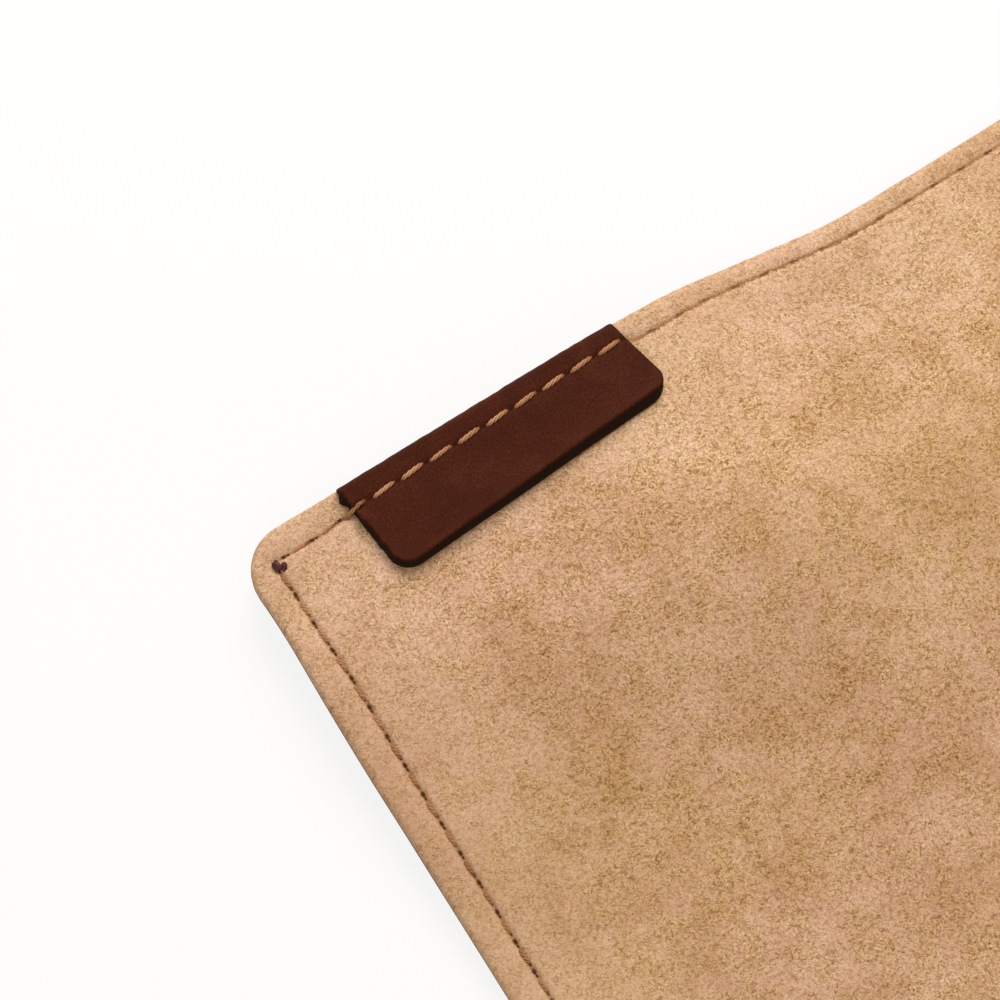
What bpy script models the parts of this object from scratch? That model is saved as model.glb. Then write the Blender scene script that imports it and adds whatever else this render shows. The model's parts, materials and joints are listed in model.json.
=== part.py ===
"""Pen roll lying open, suede lining up: a plain cover panel with a folded leather label on its top edge, then
five pen slots. The leather folds between the slots, so each stretch between two folds is a panel of its own.
Metres, +Z up, the roll's top edge towards +Y, the middle of its footprint at the origin."""

import math

import bmesh
import bpy

# Outline of the open roll
PANEL_HEIGHT = 0.190
SLOT_PITCH = 0.036
SLOT_COUNT = 5
CORNER_RADIUS = 0.006
CORNER_STEPS = 6

# Folds, from the cover panel to the last slot: how far each turns when the roll is rolled up
FOLD_ANGLES = [math.radians(angle) for angle in (72.0, 62.0, 64.0, 76.0, 84.0)]
FOLD_GAP = 0.0003

# Layers
OUTER_THICKNESS = 0.0013
LINING_THICKNESS = 0.0012
POCKET_THICKNESS = 0.0010
LABEL_THICKNESS = 0.0014
CLEARANCE = 0.0003

# Seams
SEAM_INSET = 0.004
THREAD_DIAMETER = 0.0007
DIVIDER_INSET = 0.0054
THREAD_SIDES_RESOLUTION = 1

# Pen pockets
POCKET_HEIGHT = 0.100
POCKET_FLANGE = 0.0065
POCKET_HEM = 0.0065
POCKET_RISE = 0.0085
POCKET_CLOSING = 0.022
POCKET_ARCH_STEPS = 10
POCKET_CLOSING_STEPS = 5

# Label, folded over the top edge
LABEL_START = 0.0145
LABEL_LENGTH = 0.0375
LABEL_TO_FOLD = 0.012
LABEL_DEPTH_LEFT = 0.0120
LABEL_DEPTH_RIGHT = 0.0098
LABEL_CORNER_RADIUS = 0.0035
LABEL_CORNER_STEPS = 5
FOLD_ARC_STEPS = 3

# The cover panel rises over the label's back
RISE_MARGIN = 0.001
RISE_RAMP = 0.018
RISE_STEPS = 5

# Places that follow from the sizes
COVER_WIDTH = LABEL_START + LABEL_LENGTH + LABEL_TO_FOLD
WIDTH = COVER_WIDTH + SLOT_COUNT * SLOT_PITCH
LABEL_WRAP = LABEL_THICKNESS + CLEARANCE
RIGHT_X = WIDTH / 2
LEFT_X = -RIGHT_X
TOP_Y = (PANEL_HEIGHT - LABEL_WRAP) / 2
BOTTOM_Y = TOP_Y - PANEL_HEIGHT
LINING_BASE = OUTER_THICKNESS + CLEARANCE
LINING_TOP = LINING_BASE + LINING_THICKNESS
POCKET_BASE = LINING_TOP + CLEARANCE
POCKET_TOP = POCKET_BASE + POCKET_THICKNESS
MOUTH_Y = BOTTOM_Y + POCKET_HEIGHT
LABEL_LEFT_X = LEFT_X + LABEL_START
LABEL_RIGHT_X = LABEL_LEFT_X + LABEL_LENGTH
THREAD_RISE = CLEARANCE + THREAD_DIAMETER / 2

LEATHER_COLOUR = (0.056, 0.019, 0.012, 1.0)
LABEL_COLOUR = (0.083, 0.022, 0.012, 1.0)
SUEDE_COLOUR = (0.610, 0.371, 0.188, 1.0)
THREAD_COLOUR = (0.445, 0.230, 0.098, 1.0)
LEATHER_ROUGHNESS = 0.5
SUEDE_ROUGHNESS = 0.95
THREAD_ROUGHNESS = 0.7


def clear_scene():
    for obj in list(bpy.data.objects):
        bpy.data.objects.remove(obj, do_unlink=True)


def make_material(name, colour, roughness):
    material = bpy.data.materials.new(name)
    material.use_nodes = True
    shader = material.node_tree.nodes["Principled BSDF"]
    shader.inputs["Base Color"].default_value = colour
    shader.inputs["Roughness"].default_value = roughness
    shader.inputs["Metallic"].default_value = 0.0
    return material


def smoothstep(share):
    share = min(max(share, 0.0), 1.0)
    return share * share * (3.0 - 2.0 * share)


def fold_x(fold):
    """Where a fold line lies: fold 0 is between the cover panel and the first slot."""
    return LEFT_X + COVER_WIDTH + fold * SLOT_PITCH


def trimmed_back(fold, height):
    """How far a layer at this height stays from the fold, so that two folded panels don't meet."""
    return FOLD_GAP / 2 + height * math.tan(FOLD_ANGLES[fold] / 2)


def left_edge(panel, height):
    if panel == 0:
        return LEFT_X
    return fold_x(panel - 1) + trimmed_back(panel - 1, height)


def right_edge(panel, height):
    if panel == SLOT_COUNT:
        return RIGHT_X
    return fold_x(panel) - trimmed_back(panel, height)


def corner_inset(distance, radius):
    """How far a rounded corner draws the outline in, this far from the side edge."""
    if distance >= radius:
        return 0.0
    return radius - math.sqrt(max(radius**2 - (radius - distance) ** 2, 0.0))


def corner_distances(radius, steps):
    """Distances from a side edge at which a rounded corner has its points."""
    return [
        radius * (1.0 - math.cos(math.pi / 2 * step / steps)) for step in range(steps)
    ]


def panel_inset(x):
    nearest = min(x - LEFT_X, RIGHT_X - x)
    return corner_inset(max(nearest, 0.0), CORNER_RADIUS)


def cover_rise(x, y):
    """The cover panel lies raised by the label's back, and falls to the table around it."""
    deep = max(LABEL_DEPTH_LEFT, LABEL_DEPTH_RIGHT) + RISE_MARGIN
    down = smoothstep(1.0 - (TOP_Y - y - deep) / RISE_RAMP)
    end = LABEL_RIGHT_X + RISE_MARGIN
    room = right_edge(0, LINING_TOP) - end
    across = smoothstep(1.0 - (x - end) / room)
    return LABEL_WRAP * down * across


def flat(x, y):
    return 0.0


def pocket_bulge(panel):
    """The slack of one pen pocket: an arch across the slot that closes towards the bottom seam."""
    arch_left = fold_x(panel - 1) + POCKET_FLANGE
    arch_width = SLOT_PITCH - 2 * POCKET_FLANGE

    def bulge(x, y):
        share = (x - arch_left) / arch_width
        if not 0.0 < share < 1.0:
            return 0.0
        opened = smoothstep((y - BOTTOM_Y - POCKET_HEM) / POCKET_CLOSING)
        return POCKET_RISE * math.sin(math.pi * share) ** 2 * opened

    return bulge


def lattice(name, columns, rows, place, pivot, material, holder):
    """A closed sheet: a grid of columns by rows, extruded once. place(column, row, top) gives each point."""
    mesh_data = bmesh.new()
    bmesh.ops.create_grid(
        mesh_data, x_segments=columns - 1, y_segments=rows - 1, size=1.0
    )
    extruded = bmesh.ops.extrude_face_region(mesh_data, geom=mesh_data.faces[:])
    upper = {item for item in extruded["geom"] if isinstance(item, bmesh.types.BMVert)}
    for vertex in mesh_data.verts:
        column = round((vertex.co.x + 1.0) / 2.0 * (columns - 1))
        row = round((vertex.co.y + 1.0) / 2.0 * (rows - 1))
        point = place(column, row, vertex in upper)
        vertex.co = [value - origin for value, origin in zip(point, pivot)]
    bmesh.ops.recalc_face_normals(mesh_data, faces=mesh_data.faces[:])
    mesh = bpy.data.meshes.new(name)
    mesh_data.to_mesh(mesh)
    mesh_data.free()
    obj = bpy.data.objects.new(name, mesh)
    obj.data.materials.append(material)
    obj.parent = holder
    bpy.context.collection.objects.link(obj)
    return obj


def even(first, last, steps):
    return [first + (last - first) * step / steps for step in range(steps + 1)]


def panel_columns(panel, inner=()):
    """Where a panel's sheets have points between their two ends: at the corners, and at any inner places."""
    places = set(inner)
    corner = corner_distances(CORNER_RADIUS, CORNER_STEPS)[1:] + [CORNER_RADIUS]
    if panel == 0:
        places.update(LEFT_X + distance for distance in corner)
    if panel == SLOT_COUNT:
        places.update(RIGHT_X - distance for distance in corner)
    return sorted(places)


def sheet(name, panel, base, thickness, low_y, high_y, surface, columns, rows, look):
    """One layer of one panel between two heights in Y, its ends cut slanting at the folds."""
    inner = panel_columns(panel, columns)

    def place(column, row, top):
        height = base + (thickness if top else 0.0)
        ends = [left_edge(panel, height)] + inner + [right_edge(panel, height)]
        x = ends[column]
        low = max(low_y, BOTTOM_Y + panel_inset(x))
        high = min(high_y, TOP_Y - panel_inset(x))
        y = low + rows[row] * (high - low)
        return x, y, height + surface(x, y)

    pivot, holder = holders[panel]
    return lattice(name, len(inner) + 2, len(rows), place, pivot, look, holder)


def cover_grid():
    """Columns and rows of the cover panel's sheets, close together where it rises over the label."""
    deep = max(LABEL_DEPTH_LEFT, LABEL_DEPTH_RIGHT) + RISE_MARGIN
    end = LABEL_RIGHT_X + RISE_MARGIN
    columns = even(end, right_edge(0, LINING_TOP), RISE_STEPS)[:-1]
    drops = [0.0] + even(deep, deep + RISE_RAMP, RISE_STEPS) + [PANEL_HEIGHT]
    rows = sorted(1.0 - drop / PANEL_HEIGHT for drop in drops)
    return columns, rows


def make_layers(leather, suede):
    for panel in range(SLOT_COUNT + 1):
        where = "cover" if panel == 0 else f"slot_{panel}"
        columns, rows = cover_grid() if panel == 0 else ((), [0.0, 1.0])
        surface = cover_rise if panel == 0 else flat
        for part, base, thickness, look in (
            ("outer_leather", 0.0, OUTER_THICKNESS, leather),
            ("lining", LINING_BASE, LINING_THICKNESS, suede),
        ):
            sheet(
                f"{part}_{where}", panel, base, thickness, BOTTOM_Y, TOP_Y,
                surface, columns, rows, look,
            )


def make_pockets(suede):
    closing = even(POCKET_HEM, POCKET_HEM + POCKET_CLOSING, POCKET_CLOSING_STEPS)
    rows = [height / POCKET_HEIGHT for height in [0.0] + closing + [POCKET_HEIGHT]]
    for panel in range(1, SLOT_COUNT + 1):
        first = fold_x(panel - 1) + POCKET_FLANGE
        last = fold_x(panel) - POCKET_FLANGE
        sheet(
            f"pen_pocket_{panel}", panel, POCKET_BASE, POCKET_THICKNESS, BOTTOM_Y, MOUTH_Y,
            pocket_bulge(panel), even(first, last, POCKET_ARCH_STEPS), rows, suede,
        )


def label_columns():
    corner = corner_distances(LABEL_CORNER_RADIUS, LABEL_CORNER_STEPS)
    corner.append(LABEL_CORNER_RADIUS)
    left = [LABEL_LEFT_X + distance for distance in corner]
    return left + [LABEL_RIGHT_X - distance for distance in reversed(corner)]


def label_depth(x):
    share = (x - LABEL_LEFT_X) / LABEL_LENGTH
    depth = LABEL_DEPTH_LEFT + share * (LABEL_DEPTH_RIGHT - LABEL_DEPTH_LEFT)
    nearest = max(min(x - LABEL_LEFT_X, LABEL_RIGHT_X - x), 0.0)
    return depth - corner_inset(nearest, LABEL_CORNER_RADIUS)


def make_label(leather):
    """A strip that lies on the lining, turns round the panel's top edge and lies behind the outer leather."""
    columns = label_columns()
    front_z = LINING_TOP + LABEL_WRAP
    quarter = [math.pi / 2 * step / FOLD_ARC_STEPS for step in range(FOLD_ARC_STEPS + 1)]
    turns = [(front_z, math.pi / 2 - angle) for angle in quarter]
    turns += [(LABEL_WRAP, -angle) for angle in quarter]
    route = [(turns[0], True)] + [(turn, False) for turn in turns] + [(turns[-1], True)]

    def place(column, row, top):
        x = columns[column]
        (z, angle), at_end = route[row]
        reach = CLEARANCE + (LABEL_THICKNESS if top else 0.0)
        y = TOP_Y - (label_depth(x) if at_end else 0.0)
        return x, y + reach * math.cos(angle), z + reach * math.sin(angle)

    pivot, holder = holders[0]
    lattice("label", len(columns), len(route), place, pivot, leather, holder)


def thread(name, panel, points, look):
    """A sewn line as one round thread through these points."""
    pivot, holder = holders[panel]
    curve = bpy.data.curves.new(name, "CURVE")
    curve.dimensions = "3D"
    curve.bevel_depth = THREAD_DIAMETER / 2
    curve.bevel_resolution = THREAD_SIDES_RESOLUTION
    curve.use_fill_caps = True
    spline = curve.splines.new("POLY")
    spline.points.add(len(points) - 1)
    for target, point in zip(spline.points, points):
        target.co = [value - origin for value, origin in zip(point, pivot)] + [1.0]
    obj = bpy.data.objects.new(name, curve)
    obj.data.materials.append(look)
    obj.parent = holder
    bpy.context.collection.objects.link(obj)


def seam_height(y):
    """Height of the seam's thread on a slot panel: on the pocket below its mouth, else on the lining."""
    return (POCKET_TOP if y < MOUTH_Y else LINING_TOP) + THREAD_RISE


def cover_seam_points():
    """The cover panel's seam: along the top over the label, down the side edge and along the bottom."""
    high, low = TOP_Y - SEAM_INSET, BOTTOM_Y + SEAM_INSET
    side = LEFT_X + SEAM_INSET
    flat_z = LINING_TOP + THREAD_RISE
    end = right_edge(0, flat_z + THREAD_DIAMETER)
    step = LABEL_THICKNESS + CLEARANCE
    stations = [(x, 0.0) for x in even(end, LABEL_RIGHT_X + RISE_MARGIN, RISE_STEPS)]
    stations += [(LABEL_RIGHT_X, step), (LABEL_LEFT_X, step)]
    stations += [(LABEL_LEFT_X - RISE_MARGIN, 0.0), (side, 0.0)]
    points = [(x, high, flat_z + cover_rise(x, high) + up) for x, up in stations]
    deep = max(LABEL_DEPTH_LEFT, LABEL_DEPTH_RIGHT) + RISE_MARGIN
    for drop in even(deep, deep + RISE_RAMP, RISE_STEPS):
        y = TOP_Y - drop
        points.append((side, y, flat_z + cover_rise(side, y)))
    return points + [(side, low, flat_z), (end, low, flat_z)]


def last_slot_seam_points():
    """The last slot's seam: along the top, down the side edge onto the pocket, and along the bottom."""
    high, low = TOP_Y - SEAM_INSET, BOTTOM_Y + SEAM_INSET
    side = RIGHT_X - SEAM_INSET
    on_lining, on_pocket = seam_height(high), seam_height(low)
    step = on_pocket - on_lining
    return [
        (left_edge(SLOT_COUNT, on_lining + THREAD_DIAMETER), high, on_lining),
        (side, high, on_lining),
        (side, MOUTH_Y + step, on_lining),
        (side, MOUTH_Y, on_pocket),
        (side, low, on_pocket),
        (left_edge(SLOT_COUNT, on_pocket + THREAD_DIAMETER), low, on_pocket),
    ]


def make_edge_seams(look):
    thread("edge_seam_cover", 0, cover_seam_points(), look)
    thread(f"edge_seam_slot_{SLOT_COUNT}", SLOT_COUNT, last_slot_seam_points(), look)
    for panel in range(1, SLOT_COUNT):
        for side, y in (
            ("top", TOP_Y - SEAM_INSET),
            ("bottom", BOTTOM_Y + SEAM_INSET),
        ):
            z = seam_height(y)
            left = left_edge(panel, z + THREAD_DIAMETER)
            right = right_edge(panel, z + THREAD_DIAMETER)
            points = [(left, y, z), (right, y, z)]
            thread(f"{side}_seam_slot_{panel}", panel, points, look)


def make_divider_seams(look):
    """The seams that part the pen slots, each just past a fold, up to the pockets' mouth."""
    low = BOTTOM_Y + SEAM_INSET + THREAD_DIAMETER + CLEARANCE
    for panel in range(1, SLOT_COUNT + 1):
        x = fold_x(panel - 1) + DIVIDER_INSET
        z = POCKET_TOP + THREAD_RISE
        points = [(x, low, z), (x, MOUTH_Y, z)]
        thread(f"divider_seam_{panel}", panel, points, look)


def make_holders():
    """An empty at the origin for the cover panel and one on each fold line, each hung on the one before."""
    root = bpy.data.objects.new("cover_root", None)
    bpy.context.collection.objects.link(root)
    made = [((0.0, 0.0, 0.0), root)]
    for fold in range(SLOT_COUNT):
        pivot = (fold_x(fold), 0.0, 0.0)
        last_pivot, last = made[-1]
        empty = bpy.data.objects.new(f"fold_line_{fold + 1}", None)
        empty.parent = last
        empty.location = (pivot[0] - last_pivot[0], 0.0, 0.0)
        bpy.context.collection.objects.link(empty)
        made.append((pivot, empty))
    return made


clear_scene()
holders = make_holders()
outer_look = make_material("outer_leather", LEATHER_COLOUR, LEATHER_ROUGHNESS)
label_look = make_material("label_leather", LABEL_COLOUR, LEATHER_ROUGHNESS)
suede_look = make_material("suede", SUEDE_COLOUR, SUEDE_ROUGHNESS)
thread_look = make_material("thread", THREAD_COLOUR, THREAD_ROUGHNESS)
make_layers(outer_look, suede_look)
make_pockets(suede_look)
make_label(label_look)
make_edge_seams(thread_look)
make_divider_seams(thread_look)
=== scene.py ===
"""Looks of an open pen roll: brown bridle leather outside, buffed tan suede inside, a folded
leather label on the top edge, saddle stitches all round and five sewn pen pockets.

Everything is in metres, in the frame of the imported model. A stretch is a pair of lengths: where a
change starts, and over what distance it goes on. Layers of lumps are each a height, a size and a
seed. Beyond means to the right of the label's right end, and below means under the top edge."""

import json
import math

import bmesh
import bpy
import numpy as np
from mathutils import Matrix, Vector


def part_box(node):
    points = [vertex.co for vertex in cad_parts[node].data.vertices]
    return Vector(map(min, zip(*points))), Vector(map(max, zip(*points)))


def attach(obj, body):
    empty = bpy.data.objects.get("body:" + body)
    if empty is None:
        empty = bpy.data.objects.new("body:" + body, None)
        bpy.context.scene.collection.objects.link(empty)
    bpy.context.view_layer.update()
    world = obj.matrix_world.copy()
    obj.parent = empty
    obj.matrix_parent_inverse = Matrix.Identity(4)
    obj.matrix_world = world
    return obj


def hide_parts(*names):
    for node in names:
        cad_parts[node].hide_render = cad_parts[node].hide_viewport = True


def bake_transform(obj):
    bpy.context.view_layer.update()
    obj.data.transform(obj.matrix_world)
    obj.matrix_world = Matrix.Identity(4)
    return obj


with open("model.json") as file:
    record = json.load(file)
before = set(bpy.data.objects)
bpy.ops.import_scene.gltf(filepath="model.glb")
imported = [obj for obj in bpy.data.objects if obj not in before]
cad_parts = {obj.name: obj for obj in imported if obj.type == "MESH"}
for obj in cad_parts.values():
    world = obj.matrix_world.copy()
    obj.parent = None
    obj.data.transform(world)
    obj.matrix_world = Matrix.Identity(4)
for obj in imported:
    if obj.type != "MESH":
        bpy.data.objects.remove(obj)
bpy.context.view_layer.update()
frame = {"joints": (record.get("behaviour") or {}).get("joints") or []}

MM = 0.001

# Places read from the frame
lining_low, lining_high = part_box("lining_cover")
LEFT_X, BOTTOM_Y, TOP_Y = lining_low.x, lining_low.y, lining_high.y
RIGHT_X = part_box("lining_slot_5")[1].x
FOLDS = sorted(joint["pos_m"][0] for joint in frame["joints"])
BODIES = ["cover_panel"] + [f"slot_panel_{slot + 1}" for slot in range(len(FOLDS))]
SLOTS = len(FOLDS)
PITCH = FOLDS[1] - FOLDS[0]
PANEL_ENDS = [LEFT_X] + [fold + PITCH / 2 for fold in FOLDS[:-1]] + [RIGHT_X]
MOUTH_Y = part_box("pen_pocket_1")[1].y
POCKET_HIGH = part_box("pen_pocket_1")[1].z
label_low, label_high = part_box("label")
LABEL_LEFT, LABEL_RIGHT = label_low.x, label_high.x

# Layers, lying on each other
OUTER_TOP = 1.40 * MM
LINING_BASE = 1.43 * MM
LINING_TOP = 2.80 * MM
POCKET_BASE = 2.95 * MM
POCKET_TOP = 4.05 * MM
CORNER_RADIUS = 6.0 * MM

# Seams: how far in they run, and where their first holes are from the top left corner
SIDE_INSET = 4.0 * MM
TOP_INSET = 3.15 * MM
STITCH_PITCH = 3.985 * MM
FIRST_HOLE_ACROSS = 5.15 * MM
FIRST_HOLE_DOWN = 4.5 * MM
DIVIDER_INSET = 5.4 * MM
DIVIDER_DOWN = 1.5 * MM
DIVIDER_PAST = 3.0 * MM

# How the leather is pressed in along a seam, and round each hole
SEAM_DEPTH = 0.45 * MM
OUTER_SEAM_DEPTH = 0.35 * MM
GROOVE_INSIDE = 0.38 * MM
GROOVE_OUTSIDE = 0.85 * MM
HOLE_SHARE = 0.25
HOLE_WIDTH = 0.3 * MM
HOLE_LENGTH = 0.5 * MM

# Where the sewing strays from a straight line
SEAM_DROP = 0.40 * MM
DROP_ALONG = (10.0 * MM, 4.0 * MM)
SEAM_ASKEW = (-0.12 * MM, 0.45 * MM)
ASKEW_RAMP = 2.0 * MM
ASKEW_PAST = 3.0 * MM
SEAM_CLIMB = 0.42 * MM
CLIMB_BEYOND = (6.0 * MM, 8.0 * MM)
SIDE_SEAM_OUT = 0.08 * MM
SEAM_OUT = 0.45 * MM
OUT_BELOW = (8.0 * MM, 13.0 * MM)

# Pockets
FLANGE = 6.5 * MM
HEM = 6.5 * MM
CLOSING = 28.0 * MM
POCKET_RISE = POCKET_HIGH - POCKET_TOP
POCKET_START = FOLDS[0] + 3.4 * MM
MOUTH_FLARE = 0.5 * MM
FLARE_HEIGHT = 9.0 * MM
SLACK_SHARE = 0.12
SLACK_WAVE = 55.0 * MM
ARCH_POWER = 1.8
POCKET_SLACK = 6.0 * MM
POCKET_PATTERN = (13.0 * MM, 31.0 * MM)

# Label
LABEL_THICKNESS = 1.5 * MM
LABEL_FOLD = 0.95 * MM
LABEL_DEPTH_LEFT = 12.5 * MM
LABEL_DEPTH_RIGHT = 10.4 * MM
LABEL_CORNER_LEFT = 2.7 * MM
LABEL_CORNER_RIGHT = 3.2 * MM
FACE_CORNER_RIGHT = 1.8 * MM
LABEL_TUCK = 0.70 * MM
FLAP_RISE = 0.35 * MM
SKEW_LEFT = 1.25 * MM
SKEW_RIGHT = 2.45 * MM
END_OUT_LEFT = -0.12 * MM
END_OUT_RIGHT = 0.95 * MM
OVERHANG = 0.10 * MM
OVERHANG_SHARES = (0.2, 0.5)
BEVEL_LEFT = 0.50 * MM
BEVEL_BELOW = (3.6 * MM, 2.0 * MM)
BEVEL_LOWER_LEFT = 0.50 * MM
BEVEL_LOWER_RIGHT = 1.05 * MM
BEVEL_REACH = 1.2 * MM
LABEL_CLEARANCE = 0.08 * MM
TUCK_RAMP = 0.8 * MM
TUCK_REACH = 2.5 * MM
FLAP_LENGTH = 9.0 * MM
FOLD_ROWS = 13

# The label's left end: cut ragged by hand, with a stub that stands out under the fold
RAGGED = 0.08 * MM
RAGGED_REACH = 0.6 * MM
RAGGED_SHARES = ((0.6, 1.6 * MM, 9), (1.0, 0.6 * MM, 15))
FACE_RAGGED_SIZE, FACE_RAGGED_SEED = 1.1 * MM, 10
STUB_DOWN = 0.85 * MM
STUB_REACH = 0.7 * MM
STUB_OUT = 0.50 * MM
STUB_IN = 0.55 * MM

# The line and the pits that the stitches press into the label
LABEL_PRESS = 0.16 * MM
PRESS_LINE = 0.6
PRESS_WIDTH = 0.5 * MM
PIT_WIDTH = 0.32 * MM
END_PRESS = 0.35 * MM
END_PRESS_REACH = 1.1 * MM
SEAM_WINDOW = 8.0 * MM
FAR_FROM_SEAM = 9.0 * MM

# How the open roll lies: raised by the label's back, and bulging beside it
LABEL_LIFT = 3.0 * MM
LIFT_BEYOND = (-5.0 * MM, 28.0 * MM)
LIFT_BELOW = (14.0 * MM, 50.0 * MM)
HUMP_RISE = 3.6 * MM
HUMP_PLACE = (86.0 * MM, 46.0 * MM)
HUMP_SIZE = (34.0 * MM, 27.0 * MM)
RIDGE_RISE = 2.0 * MM
RIDGE_PLACE = (46.0 * MM, 31.0 * MM)
RIDGE_SIZE = (24.0 * MM, 14.0 * MM)
LEAST_LIFT = 0.02 * MM

# How its edges lie: waved, curled and drawn in as on leather that was rolled up
WAVES = ((0.30 * MM, 70.0 * MM, 1), (0.10 * MM, 30.0 * MM, 2))
EDGE_BAND = 6.0 * MM
EDGE_CURL = 0.8 * MM
CURL_BEYOND = (0.0, 22.0 * MM)
CURL_FADE = 0.6
CURL_FADES_BEYOND = (30.0 * MM, 60.0 * MM)
EDGE_PULL = 2.7 * MM
PULL_BEYOND = (8.0 * MM, 28.0 * MM)
PULL_FADES_BEYOND = (45.0 * MM, 85.0 * MM)
PULL_BELOW = (0.0, 60.0 * MM)
SIDE_PULL = 0.42 * MM
SIDE_PULL_DOWN, SIDE_PULL_LENGTH = 11.0 * MM, 8.0 * MM
SIDE_PULL_ALONG = (0.0, 12.0 * MM)
HAND_CUT = 0.10 * MM
CUT_WAVE = 17.0 * MM
EDGE_FUZZ = 0.07 * MM
FUZZ_SIZE = 1.9 * MM

# The small lumps of the nap, and those beyond the label, where the edge is handled most
LINING_NAP = ((0.04 * MM, 2.1 * MM, 3), (0.05 * MM, 7.0 * MM, 4))
POCKET_NAP = ((0.05 * MM, 2.3 * MM, 5), (0.12 * MM, 11.0 * MM, 6))
RUFFLE = 0.12 * MM
RUFFLE_SIZE = 2.6 * MM
RUFFLE_BEYOND = (0.0, 4.0 * MM)
RUFFLE_FADE = 0.7
RUFFLE_FADES_BEYOND = (25.0 * MM, 25.0 * MM)
RUFFLE_DOWN, RUFFLE_WIDTH = 1.6 * MM, 2.0 * MM

# Cut edges that wore round: how far in, and how far they fall away
LINING_EDGE = (0.9 * MM, 0.5 * MM)
OUTER_EDGE = (0.8 * MM, 0.45 * MM)
POCKET_EDGE = (0.8 * MM, 0.4 * MM)
LABEL_EDGE = (0.30 * MM, 0.16 * MM)

# Widths of the meshes' cells: the photographed cover panel's lining is the finest
COVER_CELL = 0.55 * MM
LINING_CELL = 0.9 * MM
OUTER_CELL = 1.2 * MM
POCKET_CELL = 0.75 * MM
LABEL_CELL = 0.35 * MM


def smoothstep(share):
    share = np.clip(share, 0.0, 1.0)
    return share * share * (3.0 - 2.0 * share)


def bell(share):
    return np.exp(-(share**2))


def rise(value, stretch):
    """From 0 to 1 over a stretch."""
    start, length = stretch
    return smoothstep((value - start) / length)


def mound(x, from_top, place, size):
    """A round rise, from 0 to 1, at a place measured from the top left corner."""
    return bell((x - LEFT_X - place[0]) / size[0]) * bell((from_top - place[1]) / size[1])


def lumps(x, y, size, seed):
    """A soft unevenness from a few crossed waves, from -1 to 1."""
    random = np.random.default_rng(seed)
    total = np.zeros_like(x)
    for _ in range(9):
        angle, phase = random.uniform(0, 2 * np.pi, 2)
        length = size * random.uniform(0.7, 1.6)
        total += np.sin(2 * np.pi * (x * np.cos(angle) + y * np.sin(angle)) / length + phase)
    return total / 9


def layered(x, y, layers):
    """Several sizes of lumps, one on the other."""
    return sum(tall * lumps(x, y, size, seed) for tall, size, seed in layers)


def settle(x, y, height):
    """Where points of the flat sheet, this high in its layers, come to lie."""
    beyond = x - LABEL_RIGHT
    from_top = TOP_Y - y
    lift = LABEL_LIFT * (1.0 - rise(beyond, LIFT_BEYOND)) * (1.0 - rise(from_top, LIFT_BELOW))
    hump = HUMP_RISE * mound(x, from_top, HUMP_PLACE, HUMP_SIZE)
    ridge = RIDGE_RISE * mound(x, from_top, RIDGE_PLACE, RIDGE_SIZE)
    wave = sum(tall * (1.0 + lumps(x, y, size, seed)) for tall, size, seed in WAVES)
    near_edge = np.clip(1.0 - from_top / EDGE_BAND, 0.0, 1.0) ** 2
    fuzz = EDGE_FUZZ * lumps(x, y, FUZZ_SIZE, 16) * near_edge
    curl = EDGE_CURL * near_edge * rise(beyond, CURL_BEYOND)
    curl = curl * (1.0 - CURL_FADE * rise(beyond, CURL_FADES_BEYOND))
    drawn = EDGE_PULL * rise(beyond, PULL_BEYOND) * (1.0 - rise(beyond, PULL_FADES_BEYOND))
    drawn = drawn * (1.0 - rise(from_top, PULL_BELOW))
    side = SIDE_PULL * bell((from_top - SIDE_PULL_DOWN) / SIDE_PULL_LENGTH)
    side = side * (1.0 - rise(x - LEFT_X, SIDE_PULL_ALONG))
    z = height + np.maximum(lift + hump + ridge + wave - curl, LEAST_LIFT)
    across = x + side + HAND_CUT * lumps(x, y, CUT_WAVE, 7)
    upwards = y - drawn + fuzz + HAND_CUT * lumps(x, y, CUT_WAVE, 8)
    return np.stack([across, upwards, z], axis=-1)


def tucked(x, y):
    """The sheets' edge is drawn in a little where the label is folded over it."""
    window = smoothstep((x - LABEL_LEFT) / TUCK_RAMP) * smoothstep((LABEL_RIGHT - x) / TUCK_RAMP)
    return y - LABEL_TUCK * window * bell((TOP_Y - y) / TUCK_REACH)


def outline_inset(x):
    """How far the rounded corners draw the outline in at this x."""
    near = np.clip(np.minimum(x - LEFT_X, RIGHT_X - x), 0.0, CORNER_RADIUS)
    return CORNER_RADIUS - np.sqrt(CORNER_RADIUS**2 - (CORNER_RADIUS - near) ** 2)


def edge_distance(x, y):
    """Distance inside the roll's rounded outline."""
    half_width, half_height = (RIGHT_X - LEFT_X) / 2, (TOP_Y - BOTTOM_Y) / 2
    past_x = np.abs(x - (LEFT_X + RIGHT_X) / 2) - (half_width - CORNER_RADIUS)
    past_y = np.abs(y - (BOTTOM_Y + TOP_Y) / 2) - (half_height - CORNER_RADIUS)
    outside = np.hypot(np.maximum(past_x, 0.0), np.maximum(past_y, 0.0))
    return CORNER_RADIUS - outside - np.minimum(np.maximum(past_x, past_y), 0.0)


def rounded_edge(distance, reach, drop):
    """How far a cut edge that wore round falls away, this far inside the outline."""
    share = np.clip(1.0 - distance / reach, 0.0, 1.0)
    return drop * (1.0 - np.sqrt(1.0 - share**2))


# The edge seam's lines, and the seams between the pockets
SEAM_LEFT, SEAM_RIGHT = LEFT_X + SIDE_INSET, RIGHT_X - SIDE_INSET
SEAM_LOW, SEAM_HIGH = BOTTOM_Y + SIDE_INSET, TOP_Y - TOP_INSET
DIVIDERS = [FOLDS[0] + DIVIDER_INSET]
for fold in FOLDS[1:]:
    DIVIDERS += [fold - DIVIDER_INSET, fold + DIVIDER_INSET]
DIVIDER_TOP = MOUTH_Y - DIVIDER_DOWN


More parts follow.
